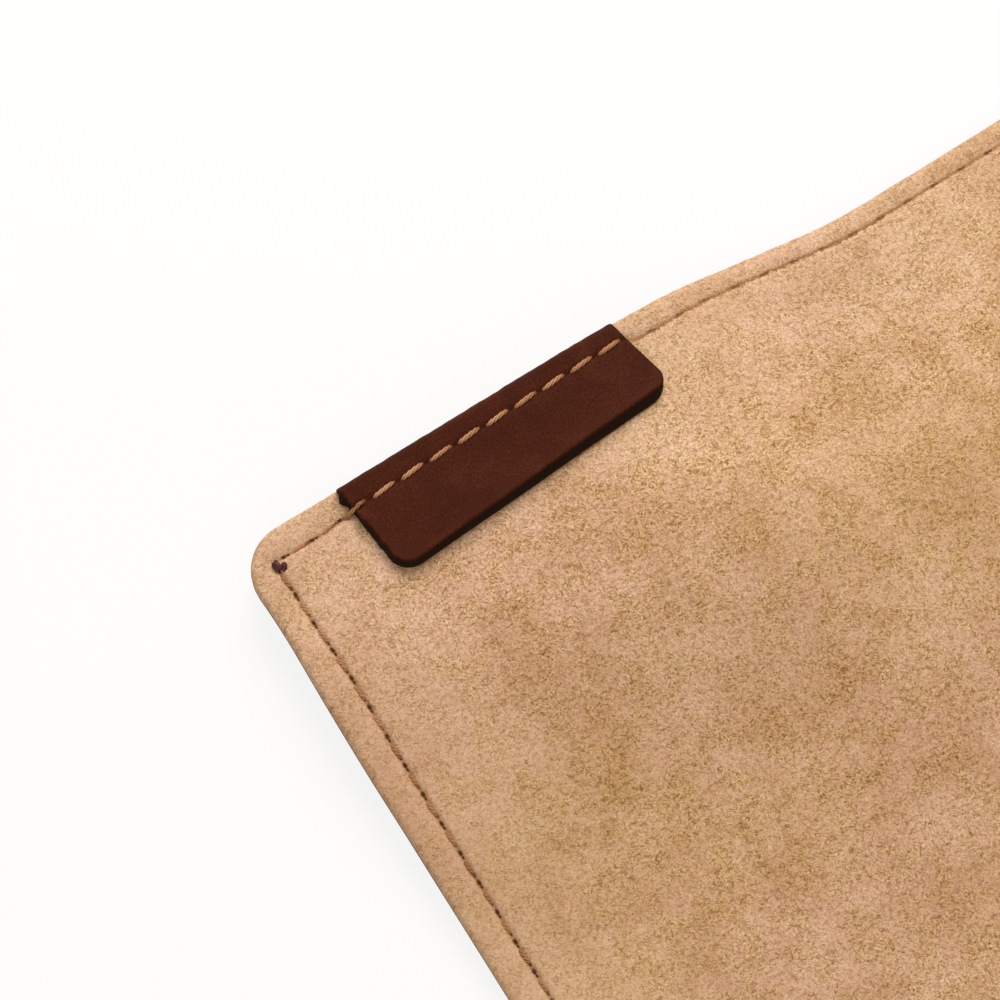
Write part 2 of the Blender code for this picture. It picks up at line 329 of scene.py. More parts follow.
def seam_high(x):
    """The top seam's line: lower near the corner, askew on the label, nearer the edge past it."""
    low = SEAM_DROP * (1.0 - rise(x - LEFT_X, DROP_ALONG))
    askew = np.interp(x, [LABEL_LEFT, LABEL_RIGHT + ASKEW_PAST - ASKEW_RAMP], SEAM_ASKEW)
    askew = askew * smoothstep((x - LABEL_LEFT + ASKEW_RAMP) / ASKEW_RAMP)
    askew = askew * smoothstep((LABEL_RIGHT + ASKEW_PAST - x) / ASKEW_RAMP)
    return SEAM_HIGH - low + askew + SEAM_CLIMB * rise(x - LABEL_RIGHT, CLIMB_BEYOND)


def seam_left(y):
    """The left seam's line: nearer the edge towards the corner."""
    return SEAM_LEFT - SEAM_OUT * (1.0 - rise(TOP_Y - y, OUT_BELOW)) - SIDE_SEAM_OUT


def seam_field(x, y):
    """Distance from the nearest seam, negative outside the edge seam, and the place along it,
    counted in stitches."""
    sides = (seam_high(x) - y, x - seam_left(y), y - SEAM_LOW, SEAM_RIGHT - x)
    sides = np.stack(np.broadcast_arrays(*sides))
    sidewise = (x - LEFT_X - FIRST_HOLE_ACROSS) / STITCH_PITCH
    downwards = (TOP_Y - FIRST_HOLE_DOWN - y) / STITCH_PITCH
    places = np.stack(np.broadcast_arrays(sidewise, downwards, sidewise, downwards))
    nearest = sides.argmin(axis=0)[None]
    across = np.take_along_axis(sides, nearest, 0)[0]
    along = np.take_along_axis(places, nearest, 0)[0]
    for line in DIVIDERS:
        to_line = np.hypot(x - line, np.maximum(y - DIVIDER_TOP, 0.0))
        closer = (to_line < np.abs(across)) & (y < MOUTH_Y + DIVIDER_PAST)
        along = np.where(closer, downwards, along)
        across = np.where(closer, to_line, across)
    return across, along


def to_nearest_hole(along):
    """Distance along a seam to its nearest hole, from a place counted in stitches."""
    return STITCH_PITCH * np.abs(along - np.round(along))


def seam_press(across, along):
    """How deep the seam presses the leather in, from 0 to 1: steep inside it, gentle outside."""
    groove = np.where(across > 0, bell(across / GROOVE_INSIDE), bell(across / GROOVE_OUTSIDE))
    hole = bell(across / HOLE_WIDTH) * bell(to_nearest_hole(along) / HOLE_LENGTH)
    return (1.0 - HOLE_SHARE) * groove + HOLE_SHARE * hole


def merged(least, *groups):
    """Places in order, without those that nearly repeat another."""
    places = np.sort(np.concatenate(groups))
    kept = [places[0]]
    for place in places[1:-1]:
        if place - kept[-1] > least and places[-1] - place > least:
            kept.append(place)
    return np.array(kept + [places[-1]])


def evenly(low, high, step):
    return np.linspace(low, high, max(2, round((high - low) / step) + 1))


# Rows and columns that follow the edges and the seams
EDGE_STEPS = np.array([0.0, 0.08, 0.2, 0.36, 0.56, 0.8, 1.1, 1.5]) * MM
SEAM_STEPS = np.array(
    [-1.6, -1.2, -0.9, -0.7, -0.5, -0.33, -0.16, 0.0, 0.16, 0.33, 0.5, 0.7, 1.0]) * MM
LABEL_END_STEPS = np.array(
    [0.0, 0.04, 0.1, 0.18, 0.3, 0.45, 0.63, 0.84, 1.08, 1.35, 1.65, 1.9]) * MM
LABEL_LOW_STEPS = np.array([0.0, 0.05, 0.13, 0.25, 0.4, 0.6, 0.8]) * MM
LEAST_STEP = 0.07 * MM
SHARE_STEP, LEAST_SHARE = 0.011, 0.003


def sheet_grid(piece, step, low_y, high_y, start_x=None):
    """Plan places of one stretch of the sheets, from mid-slot to mid-slot: arrays of x and y."""
    first = PANEL_ENDS[piece] if start_x is None else start_x
    last = PANEL_ENDS[piece + 1]
    groups = [evenly(first, last, step)]
    for line in [SEAM_LEFT, SEAM_RIGHT] + DIVIDERS:
        groups.append(line + SEAM_STEPS)
    for edge, way in ((LEFT_X, 1), (POCKET_START, 1), (RIGHT_X, -1)):
        groups.append(edge + way * EDGE_STEPS)
    for edge in (LABEL_LEFT, LABEL_RIGHT):
        groups.append(edge + SEAM_STEPS)
    xs = np.concatenate(groups)
    xs = merged(LEAST_STEP, xs[(xs > first) & (xs < last)], [first, last])
    rows = [evenly(low_y, high_y, step), SEAM_LOW + SEAM_STEPS, SEAM_HIGH + SEAM_STEPS]
    rows += [low_y + EDGE_STEPS, high_y - EDGE_STEPS]
    ys = np.concatenate(rows)
    ys = merged(LEAST_STEP, ys[(ys > low_y) & (ys < high_y)], [low_y, high_y])
    shares = (ys - low_y) / (high_y - low_y)
    inset = outline_inset(xs)
    low = np.maximum(low_y, BOTTOM_Y + inset)
    high = np.minimum(high_y, TOP_Y - inset)
    x = np.broadcast_to(xs, (len(shares), len(xs)))
    return x, low + shares[:, None] * (high - low)


def make_mesh(name, points, faces, uvs, attributes=(), sharp=None):
    """A smooth mesh from arrays. uvs holds each point's place in metres, and attributes are named
    values of the points."""
    mesh = bpy.data.meshes.new(name)
    mesh.from_pydata(points.tolist(), [], faces)
    mesh.update()
    loops = np.empty(len(mesh.loops), np.int32)
    mesh.loops.foreach_get("vertex_index", loops)
    layer = mesh.uv_layers.new(name="sheet")
    layer.data.foreach_set("uv", uvs[loops].astype(np.float32).ravel())
    for title, values in attributes:
        attribute = mesh.attributes.new(title, "FLOAT", "POINT")
        attribute.data.foreach_set("value", values.astype(np.float32).ravel())
    mesh.shade_smooth()
    if sharp is not None:
        ends = np.empty(2 * len(mesh.edges), np.int32)
        mesh.edges.foreach_get("vertices", ends)
        creased = sharp[ends.reshape(-1, 2)].all(axis=1)
        mesh.attributes.new("sharp_edge", "BOOLEAN", "EDGE").data.foreach_set("value", creased)
    obj = bpy.data.objects.new(name, mesh)
    bpy.context.scene.collection.objects.link(obj)
    return obj


def slab(name, upper, lower, uv, attributes, rim_rows=2, swell=0.22, seamed_ends=()):
    """A closed sheet from two grids of points and a rounded wall round its edge. seamed_ends names
    the end columns where the next sheet goes on, so that the shading doesn't show the cut."""
    rows, columns = upper.shape[:2]
    index = np.arange(rows * columns).reshape(rows, columns)
    border = np.concatenate([index[0, :-1], index[:-1, -1], index[-1, :0:-1], index[:0:-1, 0]])
    top, under = upper.reshape(-1, 3), lower.reshape(-1, 3)
    flat = uv.reshape(-1, 2)
    along = np.roll(top[border], -1, axis=0) - np.roll(top[border], 1, axis=0)
    outward = np.stack([along[:, 1], -along[:, 0], 0 * along[:, 0]], axis=-1)
    outward /= np.maximum(np.linalg.norm(outward, axis=1, keepdims=True), 1e-9)
    thick = np.linalg.norm(top[border] - under[border], axis=1)[:, None]
    points, uvs = [top, under], [flat, flat]
    values = {title: [value.ravel()] * 2 for title, value in attributes}
    rings = [border]
    for row in range(rim_rows):
        share = (row + 1) / (rim_rows + 1)
        rings.append(sum(map(len, points)) + np.arange(len(border)))
        ring = top[border] * (1 - share) + under[border] * share
        points.append(ring + outward * swell * thick * math.sin(math.pi * share))
        uvs.append(flat[border] + share * thick)
        for parts in values.values():
            parts.append(parts[0][border])
    rings.append(border + rows * columns)
    a, b, c, d = index[:-1, :-1], index[:-1, 1:], index[1:, 1:], index[1:, :-1]
    faces = np.stack([a, b, c, d], axis=-1).reshape(-1, 4).tolist()
    faces += (np.stack([d, c, b, a], axis=-1) + rows * columns).reshape(-1, 4).tolist()
    for first, second in zip(rings, rings[1:]):
        faces += np.stack([np.roll(first, -1), first, second, np.roll(second, -1)], axis=1).tolist()
    marks = [(title, np.concatenate(parts)) for title, parts in values.items()]
    cut = np.zeros(sum(map(len, points)))
    cut[2 * rows * columns:] = 1.0
    sharp = np.zeros(len(cut), bool)
    for column in seamed_ends:
        sharp[index[:, column]] = True
        sharp[index[:, column] + rows * columns] = True
    marks.append(("cut", cut))
    return make_mesh(name, np.concatenate(points), faces, np.concatenate(uvs), marks, sharp)


def dress(obj, material, slot_name, piece, *nodes):
    """Gives one stretch of the roll its material and hides the nodes it stands for; slot_name and
    piece are not used.
    """
    obj.data.materials.append(material)
    if nodes:
        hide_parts(*nodes)
    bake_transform(obj)


def seamed_ends(piece):
    """The end columns of a stretch where the next one goes on."""
    return [column for column, cut in ((0, piece > 0), (-1, piece < SLOTS - 1)) if cut]


def stretch_size(piece, low_y, high_y, slack=0.0):
    """The flat width and height of one stretch of a sheet, with the slack that arches up."""
    return PANEL_ENDS[piece + 1] - PANEL_ENDS[piece] + slack, high_y - low_y


def panel_nodes(prefix, piece):
    """The model's nodes that one stretch stands for."""
    covers = [f"{prefix}_cover"] if piece == 0 else []
    return covers + [f"{prefix}_slot_{piece + 1}"]


def suede_marks(x, y, across, along, distance):
    """What the suede's finish needs to know at each point."""
    return [
        ("across", across / MM), ("along", along), ("inside", distance / MM),
        ("overgrown", overgrown(x, y)), ("standing", standing_nap(x, y)),
    ]


def make_lining(material):
    for piece in range(SLOTS):
        x, y = sheet_grid(piece, COVER_CELL if piece == 0 else LINING_CELL, BOTTOM_Y, TOP_Y)
        across, along = seam_field(x, y)
        distance = edge_distance(x, y)
        nap = layered(x, y, LINING_NAP)
        nap = nap + RUFFLE * lumps(x, y, RUFFLE_SIZE, 17) * ruffled(x, y)
        top = LINING_TOP - rounded_edge(distance, *LINING_EDGE)
        top = top - SEAM_DEPTH * seam_press(across, along) + nap
        base = np.full_like(x, LINING_BASE)
        edge_y = tucked(x, y)
        obj = slab(
            f"suede_lining_{piece + 1}", settle(x, edge_y, top), settle(x, edge_y, base),
            np.stack([x, y], axis=-1), suede_marks(x, y, across, along, distance),
            seamed_ends=seamed_ends(piece),
        )
        dress(obj, material, "suede", piece, *panel_nodes("lining", piece))


def make_outer(material):
    for piece in range(SLOTS):
        x, y = sheet_grid(piece, OUTER_CELL, BOTTOM_Y, TOP_Y)
        across, along = seam_field(x, y)
        bottom = rounded_edge(edge_distance(x, y), *OUTER_EDGE)
        bottom = bottom + OUTER_SEAM_DEPTH * seam_press(across, along)
        top = np.full_like(x, OUTER_TOP)
        edge_y = tucked(x, y)
        obj = slab(
            f"bridle_leather_outer_{piece + 1}", settle(x, edge_y, top), settle(x, edge_y, bottom),
            np.stack([x, y], axis=-1), [("across", across / MM), ("along", along)],
            seamed_ends=seamed_ends(piece),
        )
        dress(obj, material, "outer_leather", piece, *panel_nodes("outer_leather", piece))


def pocket_bulge(x, y):
    """The slack of the pen pockets: an arch over each slot that closes towards the bottom seam."""
    share = np.clip((np.mod(x - FOLDS[0], PITCH) - FLANGE) / (PITCH - 2 * FLANGE), 0.0, 1.0)
    opened = smoothstep((y - BOTTOM_Y - HEM) / CLOSING)
    flare = MOUTH_FLARE * smoothstep((y - MOUTH_Y) / FLARE_HEIGHT + 1.0)
    uneven = 1.0 + SLACK_SHARE * lumps(x, y, SLACK_WAVE, 14)
    return (POCKET_RISE * opened * uneven + flare) * np.sin(np.pi * share) ** ARCH_POWER


def make_pockets(material):
    for piece in range(SLOTS):
        start = POCKET_START if piece == 0 else None
        x, y = sheet_grid(piece, POCKET_CELL, BOTTOM_Y, MOUTH_Y, start_x=start)
        across, along = seam_field(x, y)
        distance = np.minimum(np.minimum(edge_distance(x, y), MOUTH_Y - y), x - POCKET_START)
        bulge = pocket_bulge(x, y)
        top = POCKET_TOP + bulge - rounded_edge(distance, *POCKET_EDGE)
        top = top - SEAM_DEPTH * seam_press(across, along) + layered(x, y, POCKET_NAP)
        obj = slab(
            f"suede_pockets_{piece + 1}", settle(x, y, top), settle(x, y, POCKET_BASE + bulge),
            np.stack([x + POCKET_PATTERN[0], y + POCKET_PATTERN[1]], axis=-1),
            suede_marks(x, y, across, along, distance), seamed_ends=seamed_ends(piece),
        )
        dress(obj, material, "suede", piece, f"pen_pocket_{piece + 1}")
        width, height = stretch_size(piece, BOTTOM_Y, MOUTH_Y, POCKET_SLACK)
        width -= start - LEFT_X if start else 0.0


def label_depth(x, face=False):
    """How far the label's front reaches below the fold, with rounded lower corners: where it lies
    on the lining, or its bevelled face."""
    share = (x - LABEL_LEFT) / (LABEL_RIGHT - LABEL_LEFT)
    depth = LABEL_DEPTH_LEFT + share * (LABEL_DEPTH_RIGHT - LABEL_DEPTH_LEFT)
    corner_right = FACE_CORNER_RIGHT if face else LABEL_CORNER_RIGHT
    corner = np.where(share < 0.5, LABEL_CORNER_LEFT, corner_right)
    if face:
        depth = depth - BEVEL_LOWER_LEFT - share * (BEVEL_LOWER_RIGHT - BEVEL_LOWER_LEFT)
    near = np.clip(np.minimum(x - LABEL_LEFT, LABEL_RIGHT - x), 0.0, corner)
    return depth - corner + np.sqrt(corner**2 - (corner - near) ** 2)


def make_label(material):
    """The folded strip, a little askew: its front on the lining, round the top edge, its back."""
    ends = (LABEL_LEFT + LABEL_END_STEPS, LABEL_RIGHT - LABEL_END_STEPS)
    xs = merged(LEAST_STEP / 3, evenly(LABEL_LEFT, LABEL_RIGHT, LABEL_CELL), *ends)
    deep = label_depth(xs)
    bevel = deep - label_depth(xs, face=True)
    low_shares = LABEL_LOW_STEPS / LABEL_DEPTH_LEFT
    seam_shares = 1.0 - (TOP_INSET + SEAM_STEPS) / LABEL_DEPTH_LEFT
    shares = merged(LEAST_SHARE, evenly(0.0, 1.0, SHARE_STEP), low_shares, seam_shares)
    front_z, back_z = LINING_TOP + LABEL_CLEARANCE, -LABEL_CLEARANCE
    half = (front_z - back_z) / 2
    share_x = (xs - LABEL_LEFT) / (LABEL_RIGHT - LABEL_LEFT)
    from_end = np.minimum(xs - LABEL_LEFT, LABEL_RIGHT - xs)
    rows = []

    def add_row(y, height, out_y, out_z, thickness, travelled, side):
        """One row of the strip, out_y and out_z from its inner face. travelled is the way from its
        cut edge, and side is front, fold or back."""
        edge = from_end if side == "fold" else np.minimum(from_end, travelled)
        front = side == "front"
        from_top = TOP_Y - y
        below = from_top / LABEL_DEPTH_LEFT
        at_left = bell((xs - LABEL_LEFT) / RAGGED_REACH)
        stub = bell((from_top - STUB_DOWN) / STUB_REACH) * front
        ragged = layered(0.0 * y, y, RAGGED_SHARES)
        x = xs + END_OUT_LEFT + share_x * (END_OUT_RIGHT - END_OUT_LEFT)
        skew = (SKEW_LEFT + share_x * (SKEW_RIGHT - SKEW_LEFT)) * front
        x = x + skew * below + (RAGGED * (1.0 + 2.0 * stub) * ragged - STUB_OUT * stub) * at_left
        along = (x - LEFT_X - FIRST_HOLE_ACROSS) / STITCH_PITCH
        sewn = np.broadcast_to(y, xs.shape) > TOP_Y - SEAM_WINDOW
        across = np.where(sewn, seam_high(xs) + LABEL_TUCK - y, FAR_FROM_SEAM)
        thin = thickness - rounded_edge(edge, *LABEL_EDGE)
        set_in = np.zeros_like(xs)
        set_up = raised = 0.0
        if side != "fold":
            pit = bell(across / PIT_WIDTH) * bell(to_nearest_hole(along) / HOLE_LENGTH)
            thin = thin - LABEL_PRESS * (PRESS_LINE * bell(across / PRESS_WIDTH) + pit)
        if front:
            pressed_end = bell((xs - LABEL_LEFT) / END_PRESS_REACH) * bell(across / PRESS_WIDTH)
            thin = thin - END_PRESS * pressed_end
            set_in = BEVEL_LEFT * (0.5 + 0.5 * rise(from_top, BEVEL_BELOW)) + STUB_IN * stub
            set_in = set_in * bell((xs - LABEL_LEFT) / BEVEL_REACH)
            overhang = OVERHANG * rise(below, OVERHANG_SHARES)
            set_in = set_in + overhang * bell((LABEL_RIGHT - xs) / BEVEL_REACH)
            ragged = lumps(0.0 * y, y, FACE_RAGGED_SIZE, FACE_RAGGED_SEED)
            set_in = set_in + RAGGED * at_left * ragged
            raised = FLAP_RISE * np.clip((from_top - TOP_INSET) / FLAP_LENGTH, 0.0, None) ** 2
            set_up = bevel * bell(travelled / BEVEL_REACH)
            set_in = set_in - skew * set_up / LABEL_DEPTH_LEFT
        base = settle(x, y, height + raised) - np.array([0.0, LABEL_TUCK, 0.0])
        shift = np.stack(np.broadcast_arrays(set_in, out_y * thin + set_up, out_z * thin), -1)
        rows.append((base + shift, base, np.stack([x, travelled], -1), across / MM, along))

    def add_face(face_shares, level, out_z, side):
        height = np.full_like(xs, level)
        for share in face_shares:
            reached = share * deep
            add_row(TOP_Y - deep + reached, height, 0.0, out_z, LABEL_THICKNESS, reached, side)

    add_face(shares, front_z, 1.0, "front")
    top_edge = np.full_like(xs, TOP_Y)
    for angle in np.linspace(0.0, math.pi, FOLD_ROWS + 2)[1:-1]:
        out_y, out_z = math.sin(angle), math.cos(angle)
        height = np.full_like(xs, front_z - half + half * out_z)
        squeezed = LABEL_THICKNESS - (LABEL_THICKNESS - LABEL_FOLD) * out_y
        add_row(top_edge, height, out_y, out_z, squeezed, deep + half * angle, "fold")
    add_face(shares[::-1], back_z, -1.0, "back")
    upper, lower, uv, across, along = (np.array(values) for values in zip(*rows))
    obj = slab(
        "bridle_leather_label", upper, lower, uv, [("across", across), ("along", along)],
        rim_rows=3, swell=0.05,
    )
    obj.data.materials.append(material)
    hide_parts("label")
    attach(obj, BODIES[0])


# Stitches: three strands twisted together, drawn thin at the holes and sunk unevenly into the nap
THREAD_RADIUS = 0.33 * MM
STRANDS = 3
STRAND_RADIUS = 0.165 * MM
STRAND_OFFSET = THREAD_RADIUS - STRAND_RADIUS
STRAND_SIDES = 8
STITCH_RINGS = 25
TURNS_PER_STITCH = 1.6
SLANT = 0.08
BURIED = 0.14 * MM
UPWARDS = np.array([0.0, 0.0, 1.0])

# A stitch's thickness and painted shade: thin at its holes, uneven, and dimmer towards its
# holes and where the nap hides its far end
THIN_AT_HOLES = 0.6
THIN_IN_NAP = 0.16
THREAD_UNEVEN = (0.92, 1.06)
SHADE_UNEVEN = 0.16
FAR_END = (0.55, 0.45)
HIDDEN_FAR_END, HIDDEN_ENDS = 0.45, 0.15

# Painted shade between two strands: points less far out than this share of the thread's radius are
# darker
FURROW_OUT, FURROW_SHADE = 0.86, 0.55

# How deep the thread lies in the nap, and over the label
THREAD_SINK = 0.25 * MM
SINK_UNEVEN, SINK_SIZE = 0.06 * MM, 9.0 * MM
UNDER_SINK = 0.34 * MM
OVER_LABEL, UNDER_LABEL = 0.10 * MM, 0.05 * MM
LABEL_CLIMB_FROM, LABEL_CLIMB = 1.2 * MM, 2.4 * MM
LABEL_DROP_FROM, LABEL_DROP = 1.7 * MM, 0.7 * MM

# Where the nap has closed over the seam and its thread, beyond the label
GROWN_OVER = 0.50 * MM
CLOSED_MOST = 0.8
CLOSED_BEYOND = (0.0, 3.0 * MM)
OPENS_SHARE = 0.6
OPENS_BEYOND = (30.0 * MM, 30.0 * MM)

# Where the nap is stroked flat: across the open roll below the label, and along its left edge
STROKED_BELOW = (14.0 * MM, 22.0 * MM)
STROKED_ENDS = (75.0 * MM, 45.0 * MM)
NAP_STANDS = 0.95
STROKED_FLAT = 0.20
EDGE_FLAT, EDGE_FLAT_REACH = 0.08, 18.0 * MM


def strand_tube(centres, radius, start):
    """A round strand along these centres, with a radius at each: points, faces and places."""
    tangents = np.gradient(centres, axis=0)
    side = np.cross(tangents, UPWARDS)
    side /= np.maximum(np.linalg.norm(side, axis=1, keepdims=True), 1e-12)
    over = np.cross(side, tangents)
    over /= np.maximum(np.linalg.norm(over, axis=1, keepdims=True), 1e-12)
    turns = 2 * np.pi * np.arange(STRAND_SIDES) / STRAND_SIDES
    ring = np.cos(turns)[None, :, None] * side[:, None]
    ring = ring + np.sin(turns)[None, :, None] * over[:, None]
    points = (centres[:, None] + radius[:, None, None] * ring).reshape(-1, 3)
    index = np.arange(len(points)).reshape(-1, STRAND_SIDES)
    after = np.roll(index, -1, axis=1)
    faces = np.stack([index[:-1], after[:-1], after[1:], index[1:]], -1).reshape(-1, 4).tolist()
    faces += [index[0, ::-1].tolist(), index[-1].tolist()]
    along = np.linalg.norm(np.diff(centres, axis=0, prepend=centres[:1]), axis=1).cumsum()
    uv = np.stack(np.broadcast_arrays(start + along[:, None], turns[None] * STRAND_RADIUS), -1)
    return points, faces, uv.reshape(-1, 2)


class Thread:
    """Gathers stitches into one mesh."""

    def __init__(self, seed):
        self.points, self.faces, self.uvs, self.shades = [], [], [], []
        self.random = np.random.default_rng(seed)

    def stitch(self, start, end, height, side, look):
        """A twisted thread from hole to hole on the surface at this height, on the upper or lower
        side. look says where it begins and ends, how deep it dives, how pale it is, which is
        painted shade where it lies in the nap, and how much of it the nap hides, which dims it with
        painted shade."""
        begins, ends, dive, pale, sunk = look
        share = np.linspace(0.0, 1.0, STITCH_RINGS)
        way = np.array(end) - start
        slant = np.array([-way[1], way[0]]) * SLANT * side
        travelled = begins + (ends - begins) * share
        plan = np.array(start) + travelled[:, None] * way + (share[:, None] - 0.5) * slant
        shape = np.abs(2 * share - 1)
        first_turn, shade, begin, buried = self.random.uniform(0, 1, 4)
        level = height(plan[:, 0], plan[:, 1]) - side * (dive * shape**5 + BURIED * sunk * buried)
        centre = settle(plan[:, 0], plan[:, 1], level)
        across = np.cross(np.gradient(centre, axis=0), UPWARDS)
        across /= np.maximum(np.linalg.norm(across, axis=1, keepdims=True), 1e-12)
        thick = (1.0 - THIN_AT_HOLES * shape**4) * self.random.uniform(*THREAD_UNEVEN)
        thick = thick * (1.0 - THIN_IN_NAP * sunk)
        hidden = HIDDEN_FAR_END * rise(share, FAR_END) + HIDDEN_ENDS * shape**4
        # Painted shade: dimmer where the nap hides the stitch and towards its holes, with a random
        # unevenness of tone
        stitch_tone_and_shade = pale + SHADE_UNEVEN * (shade - 0.5) - sunk * hidden
        for strand in range(STRANDS):
            turn = 2 * np.pi * (first_turn + strand / STRANDS + TURNS_PER_STITCH * share)
            swing = np.cos(turn)[:, None] * across + np.sin(turn)[:, None] * UPWARDS
            core = centre + (STRAND_OFFSET * thick)[:, None] * swing
            points, faces, uv = strand_tube(core, STRAND_RADIUS * thick, begin)
            out = points.reshape(len(core), -1, 3) - centre[:, None]
            out = np.linalg.norm(out, axis=2) / THREAD_RADIUS
            total = sum(map(len, self.points))
            self.faces += [[corner + total for corner in face] for face in faces]
            self.points.append(points)
            self.uvs.append(uv)
            # Painted shade in the grooves between the strands
            strand_shade = FURROW_SHADE * np.clip(FURROW_OUT - out, 0.0, None)
            self.shades.append((stitch_tone_and_shade[:, None] - strand_shade).ravel())

    def mesh(self, name):
        shades = np.concatenate(self.shades)
        points, uvs = np.concatenate(self.points), np.concatenate(self.uvs)
        return make_mesh(name, points, self.faces, uvs, [("shade", shades)])


def on_label(x, y):
    """Share of the label's thickness under the thread: it runs straight up over the left end."""
    climb = np.clip((x - LABEL_LEFT + LABEL_CLIMB_FROM) / LABEL_CLIMB, 0.0, 1.0)
    climb = climb * smoothstep((LABEL_RIGHT + LABEL_DROP_FROM - x) / LABEL_DROP)
    return np.where(y > TOP_Y - 2 * TOP_INSET, climb, 0.0)


def overgrown(x, y):
    """How far the nap has closed over the seam, from 0 to 1: most beside the label's right end."""
    beyond = x - LABEL_RIGHT
    closed = CLOSED_MOST * rise(beyond, CLOSED_BEYOND)
    closed = closed * (1.0 - OPENS_SHARE * rise(beyond, OPENS_BEYOND))
    return closed + 0.0 * y


def ruffled(x, y):
    """Where the edge beyond the seam lies in small soft lumps: beside the label's right end."""
    beyond = x - LABEL_RIGHT
    along = rise(beyond, RUFFLE_BEYOND) * (1.0 - RUFFLE_FADE * rise(beyond, RUFFLE_FADES_BEYOND))
    return along * bell((TOP_Y - y - RUFFLE_DOWN) / RUFFLE_WIDTH)


def standing_nap(x, y):
    """How much the nap stands up, from 0 to 1: less where the open roll is stroked flat."""
    from_top = TOP_Y - y
    stroked = rise(from_top, STROKED_BELOW) * (1.0 - rise(from_top, STROKED_ENDS))
    return NAP_STANDS - STROKED_FLAT * stroked - EDGE_FLAT * bell((x - LEFT_X) / EDGE_FLAT_REACH)


def over_lining(x, y):
    """Height of the thread's seat on the upper side: on the label, a pocket or the lining."""
    on_pocket = (y < MOUTH_Y) & (x > POCKET_START)
    sunk = THREAD_SINK + SINK_UNEVEN * (1.0 + lumps(x, y, SINK_SIZE, 13))
    sunk = sunk + GROWN_OVER * overgrown(x, y)
    level = np.where(on_pocket, POCKET_TOP, LINING_TOP) - sunk
    raised = LINING_TOP + LABEL_THICKNESS + OVER_LABEL
    return level + on_label(x, y) * (raised - level)


def under_outer(x, y):
    """Height of the thread's seat on the lower side."""
    return UNDER_SINK + on_label(x, y) * (-LABEL_THICKNESS - UNDER_LABEL - UNDER_SINK)


def seam_runs():
    """The holes of every seam, in rows."""
    holes_across = int((SEAM_RIGHT - SEAM_LEFT) / STITCH_PITCH)
    holes_down = int((SEAM_HIGH - SEAM_LOW) / STITCH_PITCH) + 1
    across = LEFT_X + FIRST_HOLE_ACROSS + STITCH_PITCH * np.arange(holes_across)
    down = TOP_Y - FIRST_HOLE_DOWN - STITCH_PITCH * np.arange(holes_down)
    runs = [[(x, seam_high(x)) for x in across], [(x, SEAM_LOW) for x in across]]
    runs += [[(seam_left(y), y) for y in down], [(SEAM_RIGHT, y) for y in down]]
    inside = [y for y in down if y < DIVIDER_TOP]
    return runs + [[(x, y) for y in inside] for x in DIVIDERS]


# How a stitch lies: where it begins and ends, as shares of the way between its holes, how deep its
# ends dive, how pale it is, paler on the label and darker in the nap as painted shade, and how
# much of it the nap hides, which dims it with painted shade
ON_LABEL = (0.06, 0.94, 0.50 * MM, 0.62, 0.35)
ONTO_LABEL = (-0.06, 0.92, 0.45 * MM, 0.62, 0.7)
IN_NAP = (0.15, 0.95, 0.40 * MM, 0.54, 1.0)
DOWN_THE_SIDE = (0.13, 0.81, 0.44 * MM, 0.53, 0.95)
ON_OUTER = (0.08, 0.92, 0.60 * MM, 0.66, 0.3)


def make_stitches(material):
    upper = [Thread(20 + piece) for piece in range(SLOTS)]
    lower = [Thread(40 + piece) for piece in range(SLOTS)]
    for holes in seam_runs():
        for start, end in zip(holes, holes[1:]):
            middle_x = (start[0] + end[0]) / 2
            piece = int(np.clip(np.searchsorted(PANEL_ENDS, middle_x) - 1, 0, SLOTS - 1))
            sideways = end[0] - start[0] > STITCH_PITCH / 2
            if LABEL_LEFT < middle_x < LABEL_RIGHT and start[1] > TOP_Y - 2 * TOP_INSET:
                look = ONTO_LABEL if start[0] < LABEL_LEFT else ON_LABEL
            else:
                look = IN_NAP if sideways else DOWN_THE_SIDE
            upper[piece].stitch(start, end, over_lining, 1.0, look)
            lower[piece].stitch(start, end, under_outer, -1.0, ON_OUTER)
    for piece in range(SLOTS):
        slot = piece + 1
        edge_seams = [f"top_seam_slot_{slot}", f"bottom_seam_slot_{slot}"]
        names = [f"divider_seam_{slot}"]
        names += edge_seams if slot < SLOTS else [f"edge_seam_slot_{slot}"]
        names += ["edge_seam_cover"] if piece == 0 else []
        dress(upper[piece].mesh(f"linen_stitches_{slot}"), material, "thread", piece, *names)
        dress(lower[piece].mesh(f"linen_stitches_outside_{slot}"), material, "thread", piece)


# The two knots, in millimetres: how far across and down from the corner, long radius and short
# radius, and a seed for their bumps
KNOTS = [(3.57, 4.05, 0.70, 0.52, 11), (4.26, 4.58, 0.56, 0.42, 12)]
KNOT_HEIGHT = 0.36
KNOT_SINK = 0.05 * MM
KNOT_CORE = 0.8
KNOT_BUMPS = 30
BUMP_RISE, BUMP_WIDTH = 0.13, 0.10


